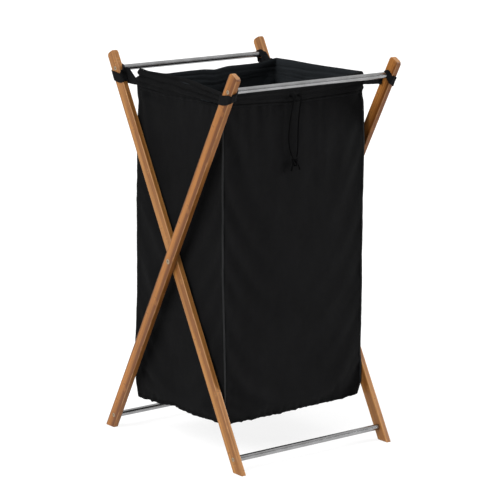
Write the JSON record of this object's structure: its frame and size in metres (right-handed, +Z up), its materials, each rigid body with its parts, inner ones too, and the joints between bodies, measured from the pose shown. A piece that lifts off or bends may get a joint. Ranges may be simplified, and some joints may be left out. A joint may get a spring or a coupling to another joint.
{
  "type": "folding laundry hamper",
  "caption": "Folding laundry hamper: crossed bamboo legs joined by steel cross tubes, with an open-topped fabric bag that has a drawstring hem and hangs from corner straps.",
  "frame": {"origin": "on the floor, under the middle of the open hamper", "axes": "+Z up, +X to the right along the steel tubes, +Y to the rear; the drawstring hangs on the front, -Y side"},
  "size_m": [0.3346, 0.3678, 0.6392],
  "materials": {
    "bamboo": "laminated bamboo strips, satin lacquer",
    "tube_steel": "satin drawn steel tube",
    "screw_steel": "zinc plated screws and pivot bolts",
    "plug_zinc": "plain zinc plated threaded plugs",
    "washer_nylon": "natural nylon",
    "bag_cloth": "black plain-woven cotton and polyester cloth",
    "strap_cloth": "black folded cloth strap",
    "cord": "black braided cord"
  },
  "bodies": {
    "outer_frame": {"outer_left_leg": "bamboo", "outer_right_leg": "bamboo", "top_front_tube": "tube_steel", "tube_plug_top_front_left": "plug_zinc", "tube_screw_top_front_left": "screw_steel", "tube_plug_top_front_right": "plug_zinc", "tube_screw_top_front_right": "screw_steel", "bottom_rear_tube": "tube_steel", "tube_plug_bottom_rear_left": "plug_zinc", "tube_screw_bottom_rear_left": "screw_steel", "tube_plug_bottom_rear_right": "plug_zinc", "tube_screw_bottom_rear_right": "screw_steel", "strap_loop_front_left": "strap_cloth", "strap_loop_front_right": "strap_cloth", "pivot_bolt_left": "screw_steel", "pivot_sleeve_left": "screw_steel", "pivot_bolt_right": "screw_steel", "pivot_sleeve_right": "screw_steel"},
    "inner_frame": {"inner_left_leg": "bamboo", "inner_right_leg": "bamboo", "top_rear_tube": "tube_steel", "tube_plug_top_rear_left": "plug_zinc", "tube_screw_top_rear_left": "screw_steel", "tube_plug_top_rear_right": "plug_zinc", "tube_screw_top_rear_right": "screw_steel", "bottom_front_tube": "tube_steel", "tube_plug_bottom_front_left": "plug_zinc", "tube_screw_bottom_front_left": "screw_steel", "tube_plug_bottom_front_right": "plug_zinc", "tube_screw_bottom_front_right": "screw_steel", "strap_loop_rear_left": "strap_cloth", "strap_loop_rear_right": "strap_cloth"},
    "pivot_washers": {"pivot_washer_left": "washer_nylon", "pivot_washer_right": "washer_nylon"},
    "bag": {"bag_panel_front": "bag_cloth", "bag_hem_front": "bag_cloth", "bag_panel_right": "bag_cloth", "bag_hem_right": "bag_cloth", "bag_panel_rear": "bag_cloth", "bag_hem_rear": "bag_cloth", "bag_panel_left": "bag_cloth", "bag_hem_left": "bag_cloth", "bag_bottom": "bag_cloth", "drawstring_in_hem": "cord", "drawstring_end_left": "cord", "drawstring_end_right": "cord", "drawstring_knot": "cord", "strap_tab_front_left": "strap_cloth", "strap_tab_front_right": "strap_cloth", "strap_tab_rear_left": "strap_cloth", "strap_tab_rear_right": "strap_cloth"}
  },
  "joints": [
    {"name": "frame_fold", "type": "hinge", "parent": "outer_frame", "child": "inner_frame", "pos_m": [0, 0, 0.316], "axis": [1, 0, 0], "range_deg": [0, 52]},
    {"name": "washer_turn", "type": "hinge", "parent": "outer_frame", "child": "pivot_washers", "pos_m": [0, 0, 0.316], "axis": [1, 0, 0], "range_deg": [0, 26]},
    {"name": "bag_lift", "type": "slide", "parent": "pivot_washers", "child": "bag", "axis": [0, 0, 1], "range_m": [0, 0.0387], "deforming": ["strap_tab_front_left", "strap_tab_front_right", "strap_tab_rear_left", "strap_tab_rear_right"]}
  ],
  "couplings": [
    {"joint": "washer_turn", "follows": "frame_fold", "ratio": 0.5},
    {"joint": "bag_lift", "follows": "frame_fold", "m_per_rad": 0.0425}
  ]
}
